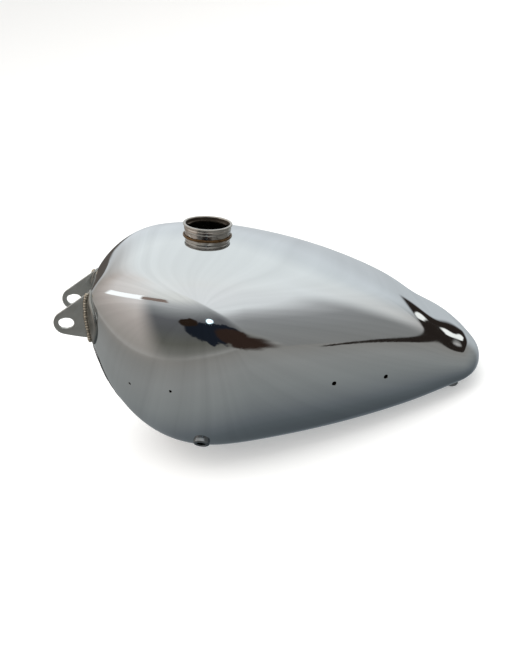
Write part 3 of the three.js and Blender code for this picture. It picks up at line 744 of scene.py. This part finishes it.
# %% The plate itself
def polar(points, steps):
    """Distance from the slot's centre at even directions, for an outline round it."""
    offset = points - slot_centre
    angle = np.unwrap(np.arctan2(offset[:, 1], offset[:, 0]))
    order = np.argsort(angle % (2 * np.pi))
    at = np.linspace(0, 2 * np.pi, steps, endpoint=False)
    return np.interp(at, (angle % (2 * np.pi))[order], np.hypot(*offset[order].T), period=2 * np.pi)


SPOKES = 360
spoke = np.linspace(0, 2 * np.pi, SPOKES, endpoint=False)
slot_straight = (SLOT_LENGTH - SLOT_WIDTH) / 2
arc = np.linspace(-np.pi / 2, np.pi / 2, 60)
slot_edge = slot_centre + np.vstack(
    [
        np.stack([slot_straight + SLOT_WIDTH / 2 * np.cos(arc), SLOT_WIDTH / 2 * np.sin(arc)], 1),
        np.stack([-slot_straight - SLOT_WIDTH / 2 * np.cos(arc), -SLOT_WIDTH / 2 * np.sin(arc)], 1),
    ]
)
reach_in, reach_out = polar(slot_edge, SPOKES), polar(ear_edge, SPOKES)
EASE = 0.55  # how far the filed corner reaches
half_t = EAR_THICK / 2
corner = np.linspace(0, np.pi / 2, 5)
outer_side = [(1, -EASE + EASE * np.sin(c), half_t - EASE + EASE * np.cos(c)) for c in corner]
section = np.array(
    outer_side
    + [(o, d, -h) for o, d, h in outer_side[::-1]]
    + [(0, -d, -h) for _, d, h in outer_side]
    + [(0, -d, h) for _, d, h in outer_side[::-1]]
)


def ear_plate(side):
    """The section's points placed along each spoke, on one side of the machine."""
    radius = np.where(section[:, 0] > 0.5, reach_out[:, None], reach_in[:, None]) + section[:, 1]
    x = slot_centre[0] + radius * np.cos(spoke)[:, None]
    z = slot_centre[1] + radius * np.sin(spoke)[:, None]
    y = side * (EAR_Y + section[:, 2]) + 0 * x
    points = np.stack([x, y, z], -1).reshape(-1, 3)
    return points, outward(points, loop_faces(SPOKES, len(section)))


for word, side in SIDES:
    ear = piece(f"{word}_ear_plate", *ear_plate(side), SATIN, "satin_steel", f"{word}_ear")
    ear.data.set_sharp_from_angle(angle=np.radians(50))

# %% [markdown]
# ** Shoe and weld.** A plate this thick would tear a thin pressing, so a shoe is brazed
# to the skin and the plate is arc-welded to the shoe. The bead is built as the welder
# leaves it: overlapping ripples about 3 mm apart, swelling and thinning.

# %% The shoe, laid on the skin
SHOE_ROWS, SHOE_COLUMNS = 80, 60


def shoe(side):
    """A patch of skin from y inside the plate out to a bowed edge, raised by its thickness
    times the root of (1 - |u|^10)(1 - |v|^14), so its borders roll down to the skin."""
    v = np.linspace(-1, 1, SHOE_ROWS)[:, None]
    u = np.linspace(-1, 1, SHOE_COLUMNS)[None, :]
    z = (ROOT_BOTTOM + ROOT_TOP) / 2 + v * ((ROOT_TOP - ROOT_BOTTOM) / 2 + SHOE_MARGIN) + 0 * u
    inner_edge = EAR_Y - EAR_THICK / 2 - SHOE_INNER
    straight = EAR_Y + EAR_THICK / 2 + EAR_LEG + SHOE_MARGIN
    bow = (SHOE_REACH - EAR_LEG / 2 - SHOE_MARGIN / 2) * (1 - v**2) * 0.98
    y = inner_edge + (straight + bow - inner_edge) * (u + 1) / 2
    s, a = nose_at(y, z)
    lift = 0.3 + SHOE_THICK * ((1 - np.abs(u) ** 10) * (1 - np.abs(v) ** 14)).ravel() ** 0.5
    base, normal = skin(s, a), skin_normal(t_of(s), a)
    top, bottom = base + normal * lift[:, None], base + 0.05 * normal
    points, faces = closed_sheet(top, bottom, grid_faces(SHOE_ROWS, SHOE_COLUMNS))
    points = points * np.array([1, side, 1])
    return points, outward(points, faces)


# %% The ripples of a hand-laid bead
def ripples(length_along, pitch, seed):
    """A bead's size factor along its length: a scallop per rod movement, plus slow
    swelling from a few sines whose phases come from the seed."""
    phase = np.random.default_rng(seed).uniform(0, 2 * np.pi, 4)
    scallop = np.abs(np.sin(np.pi * length_along / pitch + phase[0])) ** 0.6
    slow = np.sin(length_along / 5.1 + phase[1]) + 0.7 * np.sin(length_along / 2.3 + phase[2])
    return 0.72 + 0.30 * scallop + 0.10 * slow


def measured(path):
    """Distance along a path at each of its points."""
    steps = np.linalg.norm(np.diff(path, axis=0), axis=1)
    return np.r_[0, np.cumsum(steps)]


EAR_BEAD_WIDE, EAR_BEAD_HIGH, EAR_BEAD_PITCH = 2.6, 2.5, 3.4


def ear_bead(path, up, seed):
    """The weld's points and faces: ripples on its size, a slight wander, round ends."""
    across = unit(np.cross(unit(np.gradient(path, axis=0)), up))
    run = measured(path)
    near = np.clip(np.minimum(run, run[-1] - run) / (1.2 * EAR_BEAD_WIDE), 0.02, 1)
    size = (ripples(run, EAR_BEAD_PITCH, seed) * np.sqrt(1 - (1 - near) ** 2))[:, None]
    wander = EAR_BEAD_WIDE * (0.12 * np.sin(run / 3.7 + seed) + 0.08 * np.sin(run / 1.3))
    path = path + across * wander[:, None]
    points, faces = bead(path, across, up, EAR_BEAD_WIDE * size, EAR_BEAD_HIGH * size)
    return points, [list(dict.fromkeys(face)) for face in outward(points, faces).tolist()]


# %% Shoes and ear welds on both sides
WELD_STEPS = 420
weld_z = np.linspace(ROOT_BOTTOM + 1.0, ROOT_TOP - 0.5, WELD_STEPS)
weld_s, weld_a = nose_at(np.full(WELD_STEPS, EAR_Y + EAR_THICK / 2 + 1.3), weld_z)
weld_n = skin_normal(t_of(weld_s), weld_a)
weld_path = skin(weld_s, weld_a) + weld_n * (SHOE_THICK + 1.2)
for seed, (word, side) in enumerate(SIDES, 3):
    flip = np.array([1, side, 1])
    piece(f"{word}_ear_shoe_plate", *shoe(side), SHOE_STEEL, "satin_steel", f"{word}_ear_shoe")
    weld_mesh = ear_bead(weld_path * flip, weld_n * flip, seed)
    piece(f"{word}_ear_weld_bead", *weld_mesh, WELD, "weld_bead", f"{word}_ear_weld")

# %% [markdown]
# **Bosses underneath.** The tap boss is turned from bar, set into a hole low on the
# flank and open right through, so its mouth is dark. The rear boss is blind and takes a
# bolt from below. Both are lathe work: one outline with eased corners, carried round.

# %% Tap bosses and rear bosses
def boss_outline(bore, radius, proud, sunk, floor, chamfer, ease):
    """Half of a boss's section: open right through, or closed below by a floor."""
    wall = [
        (radius, -sunk),
        (radius, proud - chamfer),
        (radius - chamfer, proud),
        (bore + chamfer / 2, proud),
        (bore, proud - chamfer / 2),
    ]
    if floor > 0:
        return rounded([(0.0, -sunk), *wall, (bore, floor - sunk), (0.0, floor - sunk)], ease)
    return rounded([(bore, -sunk), *wall], ease)


tap_station, tap_angle = np.array(TAP_STATION), np.radians(np.array(TAP_ANGLE))
tap_point, tap_normal = skin(tap_station, tap_angle), skin_normal(t_of(tap_station), tap_angle)
rear_station, rear_y = LENGTH - REAR_FROM_TAIL, TUNNEL_HALF + REAR_BESIDE_TUNNEL
rear_point = skin(np.array(rear_station), underside_angle(rear_station, rear_y))
for word, side in SIDES:
    flip = np.array([1, side, 1])
    tap_mesh = turned(boss_outline(**TAP_BOSS), tap_point * flip, tap_normal * flip, 72)
    rear_mesh = turned(boss_outline(**REAR_BOSS), rear_point * flip, DOWN, 64)
    for kind, boss_mesh in (("tap", tap_mesh), ("rear", rear_mesh)):
        name = f"{word}_{kind}_boss"
        made = piece(f"{name}_turned", *boss_mesh, BOSS_CHROME, "chrome", name)
        made.data.set_sharp_from_angle(angle=np.radians(40))

# %% [markdown]
# **The tunnel.** A folded channel closes the belly. Its sheet is a grid too: at every
# station it follows the channel's outline between the two points where the outline
# meets the skin, so its edges lie exactly under the weld.

# %% The channel's sheet
def channel_point(station, run):
    """A point of the outline at a distance along it from the roof's middle: flat roof,
    quarter-circle shoulder, straight side. run is signed, positive to the right."""
    roof = roof_at(station)
    d, side = np.abs(run), np.sign(run)
    flat = TUNNEL_HALF - TUNNEL_CORNER
    curve = np.clip((d - flat) / TUNNEL_CORNER, 0, np.pi / 2)
    beyond = np.maximum(d - flat - TUNNEL_CORNER * np.pi / 2, 0)
    y = np.minimum(d, flat) + TUNNEL_CORNER * np.sin(curve)
    z = roof - TUNNEL_CORNER * (1 - np.cos(curve)) - beyond
    inward = np.stack([0 * d, -side * np.sin(curve), -np.cos(curve) + 0 * d], -1)
    return np.stack([station + 0 * d, side * y, z], -1), inward


def run_of(points):
    """The distance along the outline at which a joint point on the skin lies."""
    x, y, z = points.T
    roof = roof_at(x)
    flat = TUNNEL_HALF - TUNNEL_CORNER
    turn = np.arctan2(np.maximum(y - flat, 0), np.maximum(z - roof + TUNNEL_CORNER, 0))
    side = np.maximum(roof - TUNNEL_CORNER - z, 0)
    return np.where(y <= flat, y, flat + TUNNEL_CORNER * turn + side)


joint_s = station_at(np.linspace(FIRST_T, LAST_T, 420))
_, joint_a = edge_angles(joint_s)
joint = skin(joint_s, joint_a)
cut = joint[:, 1] > SEAM_WIDTH / 2 + 0.05
joint_s, joint_a, joint = joint_s[cut], joint_a[cut], joint[cut]
print("tunnel from", joint_s[0].round(1), "to", joint_s[-1].round(1), "mm")
lateral = np.linspace(-1, 1, 121)
channel, channel_in = channel_point(joint_s[:, None], run_of(joint)[:, None] * lateral)
flat_out = channel.reshape(-1, 3)
flat_in = flat_out + WALL * channel_in.reshape(-1, 3)
tunnel_points, tunnel_faces = closed_sheet(flat_out, flat_in, grid_faces(*channel.shape[:2]))
tunnel_mesh = tunnel_points, outward(tunnel_points, tunnel_faces)
made = piece("frame_tunnel", *tunnel_mesh, INNER, "inner_steel", "tunnel")
made.data.set_sharp_from_angle(angle=np.radians(50))

# %% The weld all round the tunnel's joint
LOOP_STEPS, LOOP_SIDES, LOOP_PITCH, LOOP_SEED = 1400, 16, 2.6, 11
WELD_HALF, WELD_PROUD = 2.0, 1.45
joint_n = skin_normal(t_of(joint_s), joint_a)
closed_at = np.vstack([joint, joint[::-1] * MIRROR, joint[:1]])
closed_up = np.vstack([joint_n, joint_n[::-1] * MIRROR, joint_n[:1]])
so_far = measured(closed_at)
total = so_far[-1]
even = np.linspace(0, total, LOOP_STEPS, endpoint=False)
loop_path = np.stack([np.interp(even, so_far, closed_at[:, c]) for c in range(3)], 1)
loop_lift = unit(np.stack([np.interp(even, so_far, closed_up[:, c]) for c in range(3)], 1))
tangent = unit(np.roll(loop_path, -2, 0) - np.roll(loop_path, 2, 0))
loop_across = unit(np.cross(tangent, loop_lift))
size = ripples(even, total / round(total / LOOP_PITCH), LOOP_SEED)[:, None]
phi = np.linspace(0, 2 * np.pi, LOOP_SIDES, endpoint=False)[None, :]
weld_points = (
    loop_path[:, None]
    + (WELD_HALF * size * np.cos(phi))[..., None] * loop_across[:, None]
    + (WELD_PROUD * np.minimum(size, 1) * np.sin(phi))[..., None] * loop_lift[:, None]
).reshape(-1, 3)
weld_mesh = weld_points, outward(weld_points, loop_faces(LOOP_STEPS, LOOP_SIDES))
piece("tunnel_joint_weld", *weld_mesh, BOSS_CHROME, "chrome", "tunnel_weld")

# %% [markdown]
# **What is hidden inside.** The screw bushes and the baffles are simple turned and cut
# pieces whose CAD shape is already right, so they stay and only get their finish.

# %% CAD pieces that stay
for name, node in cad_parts.items():
    if "bush" in name or "baffle" in name:
        refinish(node, DARK)

# %% [markdown]
# **Where the eye is.** The camera looks from the left and a little above, rolled so that
# the nose hangs as it should. Its direction is worked out before the room, because
# chrome shows rays that spread from the eye's own reflection.

# %% The eye's direction
LOOK_AT, DISTANCE = np.array([226.6, 0.5, 93.6]), 926.0
rise_angle, swing_angle, roll_angle = np.radians([26.5, -5.3, -3.4])
level = np.array([np.sin(swing_angle), -np.cos(swing_angle), 0]) * np.cos(rise_angle)
behind = level + np.array([0, 0, np.sin(rise_angle)])
print("the eye is towards", behind.round(4))

# %% [markdown]
# **The room.** Polished metal has no look of its own: it shows the room. A workshop with
# a pale ceiling, a grey screen behind the camera's right shoulder, a dark figure with a
# lamp, and a grey floor that falls to slate below gives chrome its bands. A panorama
# could be wrapped round the scene instead, but it couldn't be adjusted thing by thing.
# So each thing is painted on the world by direction, as a soft-edged patch in azimuth
# and elevation.

# %% Directions of the room
world = bpy.data.worlds.new("workshop")
bpy.context.scene.world = world
world.use_nodes = True
room = world.node_tree
room.nodes.clear()
ROOM_UP = unit(np.array([-0.20, -0.194, 1.0]))
LEFTWARD = np.array([0, -1.0, 0])
room_ahead = unit(LEFTWARD - ROOM_UP * float(LEFTWARD @ ROOM_UP))
room_side = np.cross(ROOM_UP, room_ahead)
direction = add(room, "ShaderNodeTexCoord").outputs["Generated"]


def math_node(operation, a, b=0.0, c=0.0):
    """One arithmetic node of the room, returning its output."""
    return add(room, "ShaderNodeMath", {"operation": operation}, i0=a, i1=b, i2=c).outputs[0]


def times(a, b):
    """a times b."""
    return math_node("MULTIPLY", a, b)


def plus(a, b):
    """a plus b."""
    return math_node("ADD", a, b)


def minus(a, b):
    """a minus b."""
    return math_node("SUBTRACT", a, b)


def squared(a):
    """a times itself."""
    return math_node("POWER", a, 2.0)


def part_along(axis):
    """The direction's share along an axis: their dot product."""
    axis = tuple(float(x) for x in axis)
    node = add(room, "ShaderNodeVectorMath", {"operation": "DOT_PRODUCT"}, i0=direction, i1=axis)
    return node.outputs["Value"]


DEGREE = 180 / np.pi
azimuth = times(math_node("ARCTAN2", part_along(room_side), part_along(room_ahead)), DEGREE)
elevation = times(math_node("ARCSINE", part_along(ROOM_UP)), DEGREE)
print("azimuth and elevation take", len(room.nodes), "nodes")


# %% Soft patches
def rise(value, low, high):
    """0 below low, 1 above high, smooth between."""
    return spread(room, value, low, high, blend="SMOOTHSTEP")


def between(value, low, high, soft):
    """1 between low and high, falling to 0 over soft degrees outside each."""
    return times(rise(value, low - soft, low), minus(1.0, rise(value, high, high + soft)))


CHROME_SHARE = 0.62  # of the light that the plate gives back


def lit(hex_colour, share=CHROME_SHARE):
    """The light a patch must send so that chrome shows this colour."""
    return (*[c / share for c in linear(hex_colour)[:3]], 1.0)


def paint(under, mask, colour):
    """Lays a colour over what is there, where the mask is 1."""
    return add(room, "ShaderNodeMix", {"data_type": "RGBA"}, i0=mask, i6=under, i7=colour).outputs[2]


def ladder(*stops):
    """A colour for each elevation, blended between stops of (degrees, colour)."""
    node = add(room, "ShaderNodeValToRGB", Fac=spread(room, elevation, -90.0, 90.0))
    ramp = node.color_ramp
    while len(ramp.elements) > 1:
        ramp.elements.remove(ramp.elements[-1])
    for number, (degrees, colour) in enumerate(stops):
        place = (degrees + 90) / 180
        element = ramp.elements.new(place) if number else ramp.elements[0]
        element.position = place
        element.color = lit(colour)
    return node.outputs[0]



# %% Floor and ceiling
light = ladder(
    (-90, "#43484c"), (-72, "#484d50"), (-60, "#4f5457"), (-50, "#5b5f62"), (-40, "#6a6d6e"),
    (-28, "#787a79"), (-15, "#80807e"), (-3, "#7c7975"), (-2, "#a9a6a3"), (8, "#c3c2c0"),
    (30, "#d6d8d8"), (60, "#d6d6d4"), (90, "#d9d9d7"),
)
behind_tank = ladder(
    (-90, "#43484c"), (-65, "#5a6064"), (-45, "#7d8286"), (-30, "#9fa4a7"), (-22, "#a9adb0"),
    (-14, "#b0b4b7"), (-5, "#bfc3c6"), (3, "#c4c8ca"), (14, "#d3d6d6"), (90, "#d9d9d7"),
)
to_right, to_left = rise(azimuth, 104.0, 140.0), rise(times(azimuth, -1.0), 138.0, 168.0)
light = paint(light, math_node("MAXIMUM", to_right, to_left), behind_tank)
warm = ladder(
    (-6, "#847f7a"), (0, "#8f8983"), (14, "#a39a94"), (24, "#b3aaa4"), (38, "#c8c1bd"),
    (60, "#d2cdc9"), (90, "#d9d9d7"),
)
upper = rise(elevation, -8.0, 1.5)
left_side = times(rise(azimuth, -174.0, -150.0), minus(1.0, rise(azimuth, -52.0, -8.0)))
light = paint(light, times(left_side, upper), warm)
print("floor, ceiling and warm side:", len(room.nodes), "nodes")

# %% The grey screen, the shade round the figure, and the figure with a lamp
shade = ladder(
    (-3, "#72706c"), (6, "#56554f"), (16, "#525252"), (26, "#58585a"), (36, "#7d7e7e"),
    (46, "#a3a3a3"), (60, "#cdccc8"), (90, "#d9d9d7"),
)
light = paint(light, times(between(azimuth, -46.0, 12.0, 24.0), upper), shade)
screen = ladder(
    (-6, "#757472"), (10, "#7a7a79"), (20, "#838383"), (27, "#a0a0a0"), (35, "#cfd0d0"),
    (50, "#d4d4d4"), (90, "#d9d9d7"),
)
screen_mask = times(between(azimuth, 22.0, 62.0, 4.0), rise(elevation, -5.0, -4.0))
fade = times(between(azimuth, 22.0, 78.0, 32.0), rise(elevation, -3.0, -1.0))
beside_screen = times(fade, rise(azimuth, 21.0, 23.0))
light = paint(light, math_node("MAXIMUM", screen_mask, beside_screen), screen)

ragged = add(room, "ShaderNodeTexNoise", Vector=direction, Scale=9.0, Detail=3.0)
wander = times(minus(ragged.outputs[0], 0.5), 16.0)


def patch(az, el, half_az, half_el, tilt, soft=0.12):
    """An ellipse about (az, el): 1 inside, with a ragged soft edge. tilt is in degrees."""
    x, y = minus(azimuth, az), minus(elevation, el)
    cos_t, sin_t = float(np.cos(np.radians(tilt))), float(np.sin(np.radians(tilt)))
    p = plus(times(x, cos_t), times(y, sin_t))
    q = minus(times(y, cos_t), times(x, sin_t))
    q = plus(q, times(wander, half_el / 14.0))
    r = plus(squared(math_node("DIVIDE", p, half_az)), squared(math_node("DIVIDE", q, half_el)))
    return minus(1.0, rise(r, 1 - soft, 1 + soft))


light = paint(light, patch(-4.0, 14.0, 20.5, 10.5, -15.0), lit("#171b22"))
light = paint(light, patch(9.0, 5.5, 13.0, 8.0, -45.0, 0.3), lit("#2b201b"))
light = paint(light, patch(-17.0, 25.0, 9.0, 4.0, 10.0, 0.3), lit("#231a14"))
light = paint(light, patch(-159.0, -11.0, 9.0, 6.0, 0.0, 0.3), lit("#4c4743"))
light = paint(light, patch(3.0, 25.0, 3.6, 2.2, 30.0, 0.5), (2.2, 2.8, 3.1, 1.0))
print("screen, figure and lamp:", len(room.nodes), "nodes")

# %% A strip window with its frame, and the dark edge of the floor
sag = times(squared(plus(azimuth, 25.0)), 0.003)
window_line = minus(elevation, minus(54.0, sag))
pane = times(between(window_line, -4.6, 3.4, 1.4), between(azimuth, -116.0, -66.0, 7.0))
light = paint(light, pane, (1.6, 1.6, 1.58, 1.0))
sill = times(between(window_line, -3.0, 1.5, 1.4), between(azimuth, -62.0, -27.0, 6.0))
light = paint(light, sill, lit("#7a6a62"))
EDGE_PEAK = 80.0  # the azimuth at which the floor's edge stands highest
past = math_node("MAXIMUM", minus(azimuth, EDGE_PEAK), 0.0)
short = math_node("MAXIMUM", minus(EDGE_PEAK, azimuth), 0.0)
drop = plus(times(squared(short), 0.0015), times(squared(past), 0.0047))
edge_line = plus(plus(elevation, 2.6), drop)
edge_half = plus(0.5, times(rise(azimuth, 25.0, 75.0), 2.0))
edge_half = plus(edge_half, times(rise(azimuth, 95.0, 135.0), 3.0))
from_edge = math_node("DIVIDE", math_node("ABSOLUTE", edge_line), edge_half)
floor_edge = times(minus(1.0, rise(from_edge, 0.75, 1.15)), between(azimuth, 30.0, 143.0, 3.5))
light = paint(light, floor_edge, lit("#221d1a"))
light = paint(light, patch(127.5, -12.0, 9.0, 1.9, -36.0, 0.5), lit("#e6e6e2"))

# %% Rays that spread from the eye's own reflection
eye_way = unit(stand_direction(behind))
eye_u = unit(np.cross([0, 0, 1.0], eye_way))
eye_v = np.cross(eye_way, eye_u)
flat_way = add(room, "ShaderNodeCombineXYZ", i0=part_along(eye_u), i1=part_along(eye_v)).outputs[0]
ray_way = add(room, "ShaderNodeVectorMath", {"operation": "NORMALIZE"}, i0=flat_way).outputs[0]
rays = add(room, "ShaderNodeTexNoise", Vector=ray_way, Scale=7.0, Detail=4.0, Roughness=0.6).outputs[0]
strength = plus(1.0, times(minus(rays, 0.5), 0.34))
background = add(room, "ShaderNodeBackground", Color=light, Strength=strength)
add(room, "ShaderNodeOutputWorld", Surface=background.outputs[0])
print("room built with", len(room.nodes), "nodes")

# %% [markdown]
# **The stage.** A plain pale floor rises into a dome, so that no horizon shows from any
# side. It is there for the camera only: light and reflections pass it, which keeps the
# room above as the one thing that the chrome sees.

# %% Floor and dome in one sheet
FLOOR_RADIUS, DOME_RADIUS, DOME_FOOT, DOME_HEIGHT = 3.0, 5.0, 2.0, 4.0  # metres
turn = np.linspace(0, 2 * np.pi, 96, endpoint=False)
lift = np.linspace(0, np.pi / 2, 40)[1:]
floor_out = np.linspace(0.0, FLOOR_RADIUS, 20)
curve_out = FLOOR_RADIUS + (DOME_RADIUS - FLOOR_RADIUS) * np.sin(lift)
radii = np.r_[floor_out, curve_out, DOME_RADIUS * np.cos(lift)]
heights = np.r_[0 * floor_out, DOME_FOOT * (1 - np.cos(lift)), DOME_FOOT + DOME_HEIGHT * np.sin(lift)]
stage_points = np.stack(
    [radii[:, None] * np.cos(turn), radii[:, None] * np.sin(turn), heights[:, None] + 0 * turn], -1
).reshape(-1, 3)
stage_mesh = bpy.data.meshes.new("stage_floor")
stage_mesh.from_pydata(stage_points, [], grid_faces(len(radii), len(turn), wrap=True).tolist())
stage_mesh.shade_smooth()
stage = bpy.data.objects.new("stage_floor", stage_mesh)
bpy.context.scene.collection.objects.link(stage)
paper, paper_tree = finish_of("pale_paper")
paper_shader = add(
    paper_tree,
    "ShaderNodeBsdfPrincipled",
    Base_Color=linear("#f2f2f1"),
    Roughness=0.9,
    Emission_Color=linear("#ffffff"),
    Emission_Strength=0.32,
)
close_finish(paper_tree, paper_shader)
stage_mesh.materials.append(paper)
stage.visible_glossy = False
stage.visible_diffuse = False
stage.visible_shadow = False
stage.visible_transmission = False

# %% [markdown]
# **Lamp and camera.** One broad lamp overhead gives the floor a soft shadow. A point lamp
# would cut a hard one. The camera's three axes are worked out from the eye's direction,
# then turned together for the roll.

# %% A broad soft lamp
lamp_data = bpy.data.lights.new("overhead_softbox", "AREA")
lamp_data.shape, lamp_data.size, lamp_data.size_y, lamp_data.energy = "RECTANGLE", 1.6, 1.2, 12.0
lamp = bpy.data.objects.new("overhead_softbox", lamp_data)
lamp.location = (-0.3, -0.4, 1.8)
lamp.rotation_euler = (-0.22, -0.16, 0.0)
lamp.visible_glossy = False
bpy.context.scene.collection.objects.link(lamp)

# %% The camera
SENSOR, SEEN_HEIGHT = 36.0, 897.75  # millimetres of sensor, and of the view at the tank
rightward = np.array([np.cos(swing_angle), np.sin(swing_angle), 0])
upward = np.cross(behind, rightward)
right_rolled = rightward * np.cos(roll_angle) + upward * np.sin(roll_angle)
up_rolled = -rightward * np.sin(roll_angle) + upward * np.cos(roll_angle)
camera_data = bpy.data.cameras.new("camera")
camera_data.sensor_width = SENSOR
camera_data.lens = SENSOR * DISTANCE / SEEN_HEIGHT
camera_data.clip_start, camera_data.clip_end = 0.02, 50.0
camera = bpy.data.objects.new("camera", camera_data)
bpy.context.scene.collection.objects.link(camera)
place = np.eye(4)
place[:3, :3] = np.stack([stand_direction(v) for v in (right_rolled, up_rolled, behind)], 1)
place[:3, 3] = stand(LOOK_AT + behind * DISTANCE)
camera.matrix_world = Matrix(place.tolist())
bpy.context.scene.camera = camera
bpy.context.scene.view_settings.view_transform = "Standard"
print("camera at", place[:3, 3].round(3))
